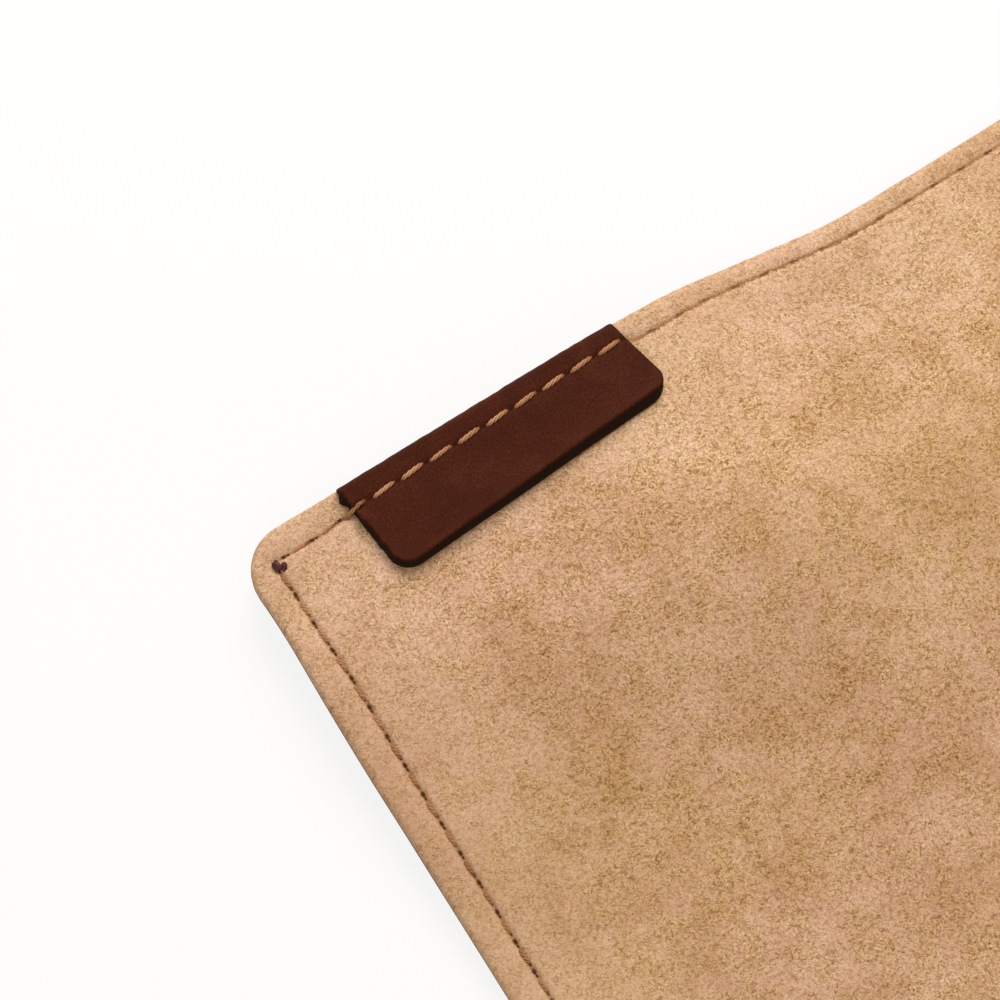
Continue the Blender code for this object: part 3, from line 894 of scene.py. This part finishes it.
def make_knots(material):
    """The thread's two ends at the corner, knotted and singed: two small dark beads."""
    for number, (across, down, long_radius, short_radius, seed) in enumerate(KNOTS):
        shape = bmesh.new()
        bmesh.ops.create_icosphere(shape, subdivisions=4, radius=1.0)
        places = np.array([vertex.co for vertex in shape.verts])
        random = np.random.default_rng(seed)
        swell = np.full(len(places), KNOT_CORE)
        for _ in range(KNOT_BUMPS):
            toward = random.normal(size=3)
            facing = places @ (toward / np.linalg.norm(toward))
            swell += BUMP_RISE * bell((1.0 - facing) / BUMP_WIDTH)
        places = places * swell[:, None] * np.array([short_radius, long_radius, KNOT_HEIGHT]) * MM
        seat = [[LEFT_X + across * MM], [TOP_Y - down * MM], [LINING_TOP - KNOT_SINK]]
        centre = settle(*np.array(seat))[0]
        for vertex, place in zip(shape.verts, places):
            vertex.co = Vector(place) + Vector(centre)
        mesh = bpy.data.meshes.new(f"singed_knot_{number + 1}")
        shape.to_mesh(mesh)
        shape.free()
        mesh.shade_smooth()
        mesh.materials.append(material)
        obj = bpy.data.objects.new(mesh.name, mesh)
        bpy.context.scene.collection.objects.link(obj)
        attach(obj, BODIES[0])


def linear(code):
    """An sRGB hex colour as linear RGBA."""
    values = [int(code[place:place + 2], 16) / 255 for place in (1, 3, 5)]
    return [v / 12.92 if v <= 0.04045 else ((v + 0.055) / 1.055) ** 2.4 for v in values] + [1.0]


def plug(tree, node, inputs):
    """Gives a node's inputs their values, or links them to the sockets that feed them."""
    for name, value in inputs.items():
        if isinstance(value, bpy.types.NodeSocket):
            tree.links.new(value, node.inputs[name])
        else:
            node.inputs[name].default_value = value


def add(tree, kind, inputs=None, output=0, stops=(), **settings):
    """Adds a node. inputs holds values or feeding sockets, stops a ramp's places and colours. Gives
    its output, or all of them where output is None."""
    made = tree.nodes.new(kind)
    for name, value in settings.items():
        setattr(made, name, value)
    plug(tree, made, inputs or {})
    for number, (place, code) in enumerate(stops):
        elements = made.color_ramp.elements
        element = elements[number] if number < len(elements) else elements.new(place)
        element.position, element.color = place, linear(code)
    return made.outputs if output is None else made.outputs[output]


def new_material(name):
    """A material, its tree and its shader."""
    material = bpy.data.materials.new(name)
    material.use_nodes = True
    return material, material.node_tree, material.node_tree.nodes["Principled BSDF"]


# The nap. Fibres of split leather are 0.02 to 0.1 mm thick, too fine to show, so they are drawn as
# bunches of this length and width, lying in tufts at these angles in degrees.
FIBRE_LENGTH = 0.62 * MM
FIBRE_WIDTH = 0.15 * MM
FIBRE_ANGLES = (20, 82, 141)
FIBRE_TUFTS = 1.3 * MM
NAP_DEPTH = 0.28 * MM

# What lies among and under the bunches: size, detail, roughness and distortion. Patches are nap
# that was pressed one way or the other, and tones are the hide's own.
NAP_LAYERS = {
    "tips": (0.27 * MM, 1.5, 0.6, 0.5),
    "strokes": (0.55 * MM, 1.0, 0.5, 0.8),
    "gaps": (0.60 * MM, 3.0, 0.75, 0.6),
    "creases": (2.4 * MM, 4.0, 0.65, 2.0),
    "patches": (3.4 * MM, 4.0, 0.6, 0.6),
    "clouds": (13.0 * MM, 3.0, 0.6, 0.0),
    "tones": (42.0 * MM, 2.0, 0.5, 0.0),
}

# The shader counts distances from an edge or a seam in millimetres
# How far in from the edge the suede is paler, from wear and from painted sheen
EDGE_SHEEN_AND_WEAR_REACH = 24.0
SEAM_WANDER = 0.30
# Painted shade along a seam's groove: half widths and darkness where the seam is open and where the
# nap closed over it, and how far it wanders where closed
FURROW_WIDTHS = (0.46, 0.52)
FURROW_SHARES = (0.60, 1.0)
FURROW_UNEVEN = 1.1

# Painted shade in the stitch holes along a seam, drawn as dark slits: middle and half length as
# shares of a stitch, and half width
SLITS = ((0.07, 0.06, 0.11), (0.93, 0.09, 0.20))

# Pores of full-grain leather are about 0.1 mm wide and fibres of linen thread about 0.02 mm. Both
# are too fine to show and are drawn this coarse.
PORES = 0.30 * MM
PORE_DEPTH = 0.06 * MM
THREAD_FIBRES = 0.10 * MM
THREAD_DEPTH = 0.05 * MM

GRAIN_PULL = 5.0 * MM
# Painted shade along the line that the stitches press into the leather, from and to this far off
# the seam in millimetres
GROOVE_SHADE_WIDTHS = (0.04, 0.24)
CHAR_SPOTS = 0.35 * MM
CHAR_DEPTH = 0.1 * MM


def suede_material():
    """Split leather buffed to a short tangled nap. It has no shine: short fibres that lie every
    way, pale on top with painted shade in the gaps between them, rosier where the nap lies flat
    and yellower where it stands, paler near the edges from wear and from painted sheen, faint
    creases and the seams darkened with painted shade, and dark slits of painted shade where the
    stitches go in."""
    material, tree, shader = new_material("buffed_tan_suede")
    place = add(tree, "ShaderNodeUVMap", output="UV", uv_map="sheet")
    layers = {}
    for layer, (size, detail, roughness, distortion) in NAP_LAYERS.items():
        layers[layer] = add(tree, "ShaderNodeTexNoise", {
            "Vector": place, "Scale": 1 / size, "Detail": detail, "Roughness": roughness,
            "Distortion": distortion}, "Fac")
    tips, gaps, clouds = layers["tips"], layers["gaps"], layers["clouds"]
    tufts = add(tree, "ShaderNodeTexNoise", {
        "Vector": place, "Scale": 1 / FIBRE_TUFTS, "Detail": 2.0, "Roughness": 0.6}, "Color")
    tufts = add(tree, "ShaderNodeSeparateColor", {"Color": tufts}, output=None)
    fibres = tips
    for number, angle in enumerate(FIBRE_ANGLES):
        turned = add(tree, "ShaderNodeMapping", {
            "Vector": place, "Rotation": (0.0, 0.0, math.radians(angle)),
            "Scale": (FIBRE_LENGTH, FIBRE_WIDTH, 1.0)}, vector_type="TEXTURE")
        lying = add(tree, "ShaderNodeTexNoise", {
            "Vector": turned, "Scale": 1.0, "Detail": 2.0, "Roughness": 0.65,
            "Distortion": 0.6}, "Fac")
        here = add(tree, "ShaderNodeMapRange", {
            "Value": tufts[number], "From Min": 0.44, "From Max": 0.56})
        fibres = add(tree, "ShaderNodeMix", {0: here, 2: fibres, 3: lying})
    nap = add(tree, "ShaderNodeMix", {0: 0.45, 2: fibres, 3: tips})
    flat_nap = add(tree, "ShaderNodeMapRange", {
        "Value": layers["patches"], "From Min": 0.40, "From Max": 0.60})
    standing = add(tree, "ShaderNodeAttribute", output="Fac", attribute_name="standing")
    contrast = add(tree, "ShaderNodeMapRange", {"Value": flat_nap, "To Min": 1.0, "To Max": 0.6})
    contrast = add(tree, "ShaderNodeMath", {0: contrast, 1: standing}, operation="MULTIPLY")
    bunched = add(tree, "ShaderNodeMath", {0: gaps, 1: 0.24, 2: -0.12}, operation="MULTIPLY_ADD")
    nap = add(tree, "ShaderNodeMath", {0: nap, 1: bunched}, operation="ADD")
    nap = add(tree, "ShaderNodeMix", {0: contrast, 2: 0.51, 3: nap})
    colour = add(tree, "ShaderNodeValToRGB", {"Fac": nap}, stops=[
        (0.33, "#86603A"), (0.42, "#B6936E"), (0.495, "#DCBE9E"), (0.565, "#EED8BE"),
        (0.655, "#FCEEDD")])
    # Painted shade in the gaps between the bunches, less where the nap lies flat
    gap = add(tree, "ShaderNodeMapRange", {
        "Value": gaps, "From Min": 0.32, "From Max": 0.48, "To Min": 0.64, "To Max": 0.0})
    upright = add(tree, "ShaderNodeMapRange", {"Value": flat_nap, "To Min": 0.9, "To Max": 0.5})
    parting = add(tree, "ShaderNodeMapRange", {"Value": standing, "From Min": 0.5, "To Min": 0.75})
    gap = add(tree, "ShaderNodeMath", {0: gap, 1: upright}, operation="MULTIPLY")
    gap = add(tree, "ShaderNodeMath", {0: gap, 1: parting}, operation="MULTIPLY")
    parted = add(tree, "ShaderNodeMapRange", {
        "Value": gaps, "From Min": 0.44, "From Max": 0.54, "To Min": 1.0, "To Max": 0.0})
    parted = add(tree, "ShaderNodeMath", {0: parted, 1: standing}, operation="MULTIPLY")
    # Painted shade in faint creases and where the standing nap parts
    crease = None
    cracks = (("creases", 0.014, 0.5, here), ("strokes", 0.05, 0.45, parted))
    for layer, half_width, depth, where in cracks:
        line = add(tree, "ShaderNodeMath", {0: layers[layer], 1: 0.5}, operation="SUBTRACT")
        line = add(tree, "ShaderNodeMath", {0: line}, operation="ABSOLUTE")
        line = add(tree, "ShaderNodeMapRange", {
            "Value": line, "From Max": half_width, "To Min": depth, "To Max": 0.0})
        line = add(tree, "ShaderNodeMath", {0: line, 1: where}, operation="MULTIPLY")
        if crease:
            line = add(tree, "ShaderNodeMath", {0: crease, 1: line}, operation="MAXIMUM")
        crease = line
    # Painted shade: the gaps and the creases darkened
    for share, code in ((gap, "#95693A"), (crease, "#8C6238")):
        colour = add(tree, "ShaderNodeMix", {
            0: share, 6: colour, 7: linear(code)}, 2, data_type="RGBA")
    tint = add(tree, "ShaderNodeMix", {
        0: flat_nap, 6: linear("#F7EFDA"), 7: linear("#FFF8F8")}, 2, data_type="RGBA")
    cloud = add(tree, "ShaderNodeValToRGB", {
        "Fac": clouds}, stops=[(0.38, "#ECE4D8"), (0.60, "#FFFFFF")])
    tone = add(tree, "ShaderNodeValToRGB", {
        "Fac": layers["tones"]}, stops=[(0.38, "#FEFAF0"), (0.60, "#FFF8F9")])
    lain = add(tree, "ShaderNodeMapRange", {"Value": standing, "From Min": 0.72, "From Max": 0.93})
    lain = add(tree, "ShaderNodeMix", {
        0: lain, 6: linear("#F1EEEA"), 7: linear("#FFFFFF")}, 2, data_type="RGBA")
    for share, layer in ((0.9, tint), (0.9, cloud), (1.0, tone), (1.0, lain)):
        colour = add(tree, "ShaderNodeMix", {
            0: share, 6: colour, 7: layer}, 2, data_type="RGBA", blend_type="MULTIPLY")
    # Paler and rosier towards the edges: partly wear, partly painted sheen
    inside = add(tree, "ShaderNodeAttribute", output="Fac", attribute_name="inside")
    edge_sheen_and_wear = add(tree, "ShaderNodeMapRange", {
        "Value": inside, "From Max": EDGE_SHEEN_AND_WEAR_REACH, "To Min": 0.30, "To Max": 0.0},
        interpolation_type="SMOOTHSTEP")
    across = add(tree, "ShaderNodeAttribute", output="Fac", attribute_name="across")
    along = add(tree, "ShaderNodeAttribute", output="Fac", attribute_name="along")
    wander = add(tree, "ShaderNodeMapRange", {
        "Value": clouds, "To Min": -SEAM_WANDER, "To Max": SEAM_WANDER})
    off_seam = add(tree, "ShaderNodeMath", {0: across, 1: wander}, operation="ADD")
    stitch = add(tree, "ShaderNodeMath", {0: along}, operation="FRACT")
    # Painted shade in the stitch holes, weaker where the nap closed over the seam; it also sinks
    # the bump
    slits = None
    for middle, half_length, half_width in SLITS:
        slit_x = add(tree, "ShaderNodeMath", {0: stitch, 1: middle}, operation="SUBTRACT")
        slit_x = add(tree, "ShaderNodeMath", {0: slit_x, 1: half_length}, operation="DIVIDE")
        slit_y = add(tree, "ShaderNodeMath", {0: off_seam, 1: half_width}, operation="DIVIDE")
        slit = add(tree, "ShaderNodeCombineXYZ", {"X": slit_x, "Y": slit_y})
        slit = add(tree, "ShaderNodeVectorMath", {0: slit}, "Value", operation="LENGTH")
        slit = add(tree, "ShaderNodeMapRange", {
            "Value": slit, "From Min": 0.5, "From Max": 1.5, "To Min": 0.95, "To Max": 0.0},
            interpolation_type="SMOOTHSTEP")
        if slits:
            slit = add(tree, "ShaderNodeMath", {0: slits, 1: slit}, operation="MAXIMUM")
        slits = slit
    closed = add(tree, "ShaderNodeAttribute", output="Fac", attribute_name="overgrown")
    open_seam = add(tree, "ShaderNodeMapRange", {"Value": closed, "To Min": 1.0, "To Max": 0.35})
    slits = add(tree, "ShaderNodeMath", {0: slits, 1: open_seam}, operation="MULTIPLY")
    uneven = add(tree, "ShaderNodeMapRange", {
        "Value": gaps, "To Min": -FURROW_UNEVEN, "To Max": FURROW_UNEVEN})
    off_seam = add(tree, "ShaderNodeMath", {
        0: uneven, 1: closed, 2: off_seam}, operation="MULTIPLY_ADD")
    off_seam = add(tree, "ShaderNodeMath", {0: off_seam}, operation="ABSOLUTE")
    # Painted shade along the seam's groove, wider and darker where the nap closed over it
    deepest = add(tree, "ShaderNodeMapRange", {
        "Value": closed, "To Min": FURROW_SHARES[0], "To Max": FURROW_SHARES[1]})
    half_width = add(tree, "ShaderNodeMapRange", {
        "Value": closed, "To Min": FURROW_WIDTHS[0], "To Max": FURROW_WIDTHS[1]})
    painted_seam_shade = add(tree, "ShaderNodeMapRange", {
        "Value": off_seam, "From Max": half_width, "To Min": deepest, "To Max": 0.0},
        interpolation_type="SMOOTHSTEP")
    # Paler edges from wear and painted sheen, painted shade along the seams and in the stitch holes
    for share, code in ((edge_sheen_and_wear, "#D6B195"), (painted_seam_shade, "#8E6339"), (slits, "#502813")):
        colour = add(tree, "ShaderNodeMix", {
            0: share, 6: colour, 7: linear(code)}, 2, data_type="RGBA")
    sunk = add(tree, "ShaderNodeMath", {0: gap, 1: 0.5}, operation="MULTIPLY")
    relief = add(tree, "ShaderNodeMath", {0: nap, 1: sunk}, operation="SUBTRACT")
    relief = add(tree, "ShaderNodeMath", {0: relief, 1: slits}, operation="SUBTRACT")
    bump = add(tree, "ShaderNodeBump", {
        "Height": relief, "Strength": 0.7, "Distance": NAP_DEPTH}, "Normal")
    plug(tree, shader, {
        "Base Color": colour, "Roughness": 0.95, "Specular IOR Level": 0.03, "Normal": bump,
        "Sheen Weight": 0.05, "Sheen Roughness": 0.5, "Sheen Tint": linear("#FFDDB8")})
    return material


def leather_material(name, dark, middle, light, edge, roughness, shine_level):
    """Waxed full-grain leather: close pores under a soft shine, colour that shifts slightly where
    it was pulled, painted shade along the line that the stitches press in, and nearly black
    burnished edges."""
    material, tree, shader = new_material(name)
    place = add(tree, "ShaderNodeUVMap", output="UV", uv_map="sheet")
    pores = add(tree, "ShaderNodeTexNoise", {
        "Vector": place, "Scale": 1 / PORES, "Detail": 3.0, "Roughness": 0.6}, "Fac")
    pull = add(tree, "ShaderNodeTexNoise", {
        "Vector": place, "Scale": 1 / GRAIN_PULL, "Detail": 4.0, "Roughness": 0.6,
        "Distortion": 0.6}, "Fac")
    tone = add(tree, "ShaderNodeMix", {0: 0.65, 2: pull, 3: pores}, 0)
    colour = add(tree, "ShaderNodeValToRGB", {
        "Fac": tone}, stops=[(0.36, dark), (0.50, middle), (0.64, light)])
    across = add(tree, "ShaderNodeAttribute", output="Fac", attribute_name="across")
    # Painted shade along the line that the stitches press in
    off_seam = add(tree, "ShaderNodeMath", {0: across}, operation="ABSOLUTE")
    pressed = add(tree, "ShaderNodeMapRange", {
        "Value": off_seam, "From Min": GROOVE_SHADE_WIDTHS[0], "From Max": GROOVE_SHADE_WIDTHS[1],
        "To Min": 0.85, "To Max": 0.0}, interpolation_type="SMOOTHSTEP")
    cut = add(tree, "ShaderNodeAttribute", output="Fac", attribute_name="cut")
    cut = add(tree, "ShaderNodeMapRange", {"Value": cut, "From Min": 0.1, "From Max": 0.5})
    # The painted shade of the seam line, and the dark burnished cut edges
    dark_places = add(tree, "ShaderNodeMath", {0: pressed, 1: cut}, operation="MAXIMUM")
    colour = add(tree, "ShaderNodeMix", {
        0: dark_places, 6: colour, 7: linear(edge)}, 2, data_type="RGBA")
    shine = add(tree, "ShaderNodeMapRange", {
        "Value": pores, "To Min": roughness - 0.08, "To Max": roughness + 0.08})
    bump = add(tree, "ShaderNodeBump", {
        "Height": pores, "Strength": 0.35, "Distance": PORE_DEPTH}, "Normal")
    plug(tree, shader, {
        "Base Color": colour, "Roughness": shine, "Specular IOR Level": shine_level,
        "Normal": bump})
    return material


def thread_material():
    """Waxed linen thread: tan, with painted shade between its twisted strands and more painted
    shade where it sinks into the nap."""
    material, tree, shader = new_material("waxed_linen_thread")
    place = add(tree, "ShaderNodeUVMap", output="UV", uv_map="sheet")
    drawn = add(tree, "ShaderNodeMapping", {"Vector": place, "Scale": (0.2, 1.0, 1.0)})
    fibres = add(tree, "ShaderNodeTexNoise", {
        "Vector": drawn, "Scale": 1 / THREAD_FIBRES, "Detail": 2.0, "Roughness": 0.6}, "Fac")
    shade = add(tree, "ShaderNodeAttribute", output="Fac", attribute_name="shade")
    tone = add(tree, "ShaderNodeMix", {0: 0.35, 2: shade, 3: fibres}, 0)
    colour = add(tree, "ShaderNodeValToRGB", {"Fac": tone}, stops=[
        (0.05, "#3C1D0C"), (0.30, "#7E4C28"), (0.50, "#AE7A4E"), (0.68, "#CC9C7A"),
        (0.85, "#E4BFA2")])
    bump = add(tree, "ShaderNodeBump", {
        "Height": fibres, "Strength": 0.5, "Distance": THREAD_DEPTH}, "Normal")
    plug(tree, shader, {
        "Base Color": colour, "Roughness": 0.62, "Specular IOR Level": 0.3, "Normal": bump})
    return material


def knot_material():
    """Thread ends singed and pressed flat: dark reddish brown, hard and slightly shiny."""
    material, tree, shader = new_material("singed_thread_ends")
    place = add(tree, "ShaderNodeTexCoord", output="Object")
    char = add(tree, "ShaderNodeTexNoise", {
        "Vector": place, "Scale": 1 / CHAR_SPOTS, "Detail": 3.0}, "Fac")
    colour = add(tree, "ShaderNodeValToRGB", {
        "Fac": char}, stops=[(0.38, "#2C0F0C"), (0.62, "#5B2A20")])
    bump = add(tree, "ShaderNodeBump", {
        "Height": char, "Strength": 0.6, "Distance": CHAR_DEPTH}, "Normal")
    plug(tree, shader, {
        "Base Color": colour, "Roughness": 0.5, "Specular IOR Level": 0.25, "Normal": bump})
    return material


# The camera stands where the photograph's did: the roll's top left corner falls on its own pixel
FRAME_PIXELS = 1000
CORNER_PIXEL = (232, 555)
PIXEL = 1.0 * MM / 8.5
CAMERA_ELEVATION = 75.0
CAMERA_AZIMUTH = -32.4
LENS = 120.0
SENSOR = 36.0
CLIP_START, CLIP_END = 0.01, 10.0

# The studio. Each lamp: name, place, what it points at, width, watts, colour
TABLE_HALF = 3.0
TABLE_GLOW = 0.85
ROOM_LIGHT = 0.47
LAMPS = [
    ("key", (0.24, 0.52, 0.50), (-0.05, 0.04, 0.0), 0.50, 4.9, "#FFFAF4"),
    ("fill", (-0.5, -0.6, 0.8), (0.0, 0.0, 0.0), 0.8, 1.6, "#FFF8F0"),
]


def make_camera():
    elevation, azimuth = math.radians(CAMERA_ELEVATION), math.radians(CAMERA_AZIMUTH)
    level = math.cos(elevation)
    back = Vector((math.sin(azimuth) * level, -math.cos(azimuth) * level, math.sin(elevation)))
    turn = back.to_track_quat("Z", "Y")
    right, up = turn @ Vector((1.0, 0.0, 0.0)), turn @ Vector((0.0, 1.0, 0.0))
    corner = Vector((LEFT_X, TOP_Y, LINING_TOP + LABEL_LIFT))
    centre = FRAME_PIXELS / 2
    aim = corner + right * (centre - CORNER_PIXEL[0]) * PIXEL
    aim = aim - up * (centre - CORNER_PIXEL[1]) * PIXEL
    camera = bpy.data.cameras.new("camera")
    camera.lens, camera.sensor_width = LENS, SENSOR
    camera.clip_start, camera.clip_end = CLIP_START, CLIP_END
    obj = bpy.data.objects.new("camera", camera)
    obj.rotation_mode = "QUATERNION"
    obj.rotation_quaternion = turn
    obj.location = aim + back * (FRAME_PIXELS * PIXEL * LENS / SENSOR)
    bpy.context.scene.collection.objects.link(obj)
    bpy.context.scene.camera = obj


def make_lamp(name, place, aim, size, watts, colour):
    lamp = bpy.data.lights.new(name, "AREA")
    lamp.shape = "DISK"
    lamp.size = size
    lamp.energy = watts
    lamp.color = linear(colour)[:3]
    obj = bpy.data.objects.new(name, lamp)
    obj.location = place
    obj.rotation_mode = "QUATERNION"
    obj.rotation_quaternion = (Vector(aim) - Vector(place)).to_track_quat("-Z", "Y")
    bpy.context.scene.collection.objects.link(obj)


def looked_at(tree):
    """1 where the camera sees a surface, straight or in a gloss or glass, and 0 where the surface
    only gives light."""
    seen = add(tree, "ShaderNodeLightPath", output=None)
    direct = add(tree, "ShaderNodeMath", {
        0: seen["Is Camera Ray"], 1: seen["Is Glossy Ray"]}, operation="MAXIMUM")
    return add(tree, "ShaderNodeMath", {
        0: direct, 1: seen["Is Transmission Ray"]}, operation="MAXIMUM")


def make_studio():
    """A white table that stays white behind the object and keeps a faint shadow, one soft lamp
    beyond the roll's top edge, and a weak one from the front."""
    table = bmesh.new()
    bmesh.ops.create_grid(table, x_segments=1, y_segments=1, size=TABLE_HALF)
    mesh = bpy.data.meshes.new("table")
    table.to_mesh(mesh)
    table.free()
    floor = bpy.data.objects.new("table", mesh)
    bpy.context.scene.collection.objects.link(floor)
    material = bpy.data.materials.new("white_card")
    material.use_nodes = True
    tree = material.node_tree
    tree.nodes.remove(tree.nodes["Principled BSDF"])
    card = add(tree, "ShaderNodeBsdfDiffuse", {"Color": linear("#F4F4F4")})
    glow = add(tree, "ShaderNodeEmission", {"Color": linear("#FFFFFF"), "Strength": 1.0})
    seen = add(tree, "ShaderNodeMath", {0: looked_at(tree), 1: TABLE_GLOW}, operation="MULTIPLY")
    mixed = add(tree, "ShaderNodeMixShader", {0: seen, 1: card, 2: glow})
    plug(tree, tree.nodes["Material Output"], {"Surface": mixed})
    mesh.materials.append(material)
    world = bpy.data.worlds.new("soft_room")
    world.use_nodes = True
    room = world.node_tree
    seen = looked_at(room)
    strength = add(room, "ShaderNodeMapRange", {"Value": seen, "To Min": ROOM_LIGHT, "To Max": 1.0})
    colour = add(room, "ShaderNodeMix", {
        0: seen, 6: linear("#FFF6EA"), 7: linear("#FFFFFF")}, 2, data_type="RGBA")
    plug(room, room.nodes["Background"], {"Color": colour, "Strength": strength})
    bpy.context.scene.world = world
    for lamp in LAMPS:
        make_lamp(*lamp)


make_camera()
suede = suede_material()
outer_leather = leather_material(
    "brown_bridle_leather", "#38190F", "#452116", "#532B1E", "#1A0D08", 0.50, 0.10)
label_leather = leather_material(
    "dark_bridle_leather", "#361308", "#431C0E", "#512716", "#20140C", 0.62, 0.05)
thread = thread_material()
make_outer(outer_leather)
make_lining(suede)
make_pockets(suede)
make_label(label_leather)
make_stitches(thread)
make_knots(knot_material())
make_studio()
bpy.context.scene.view_settings.view_transform = "Standard"
bpy.context.view_layer.update()
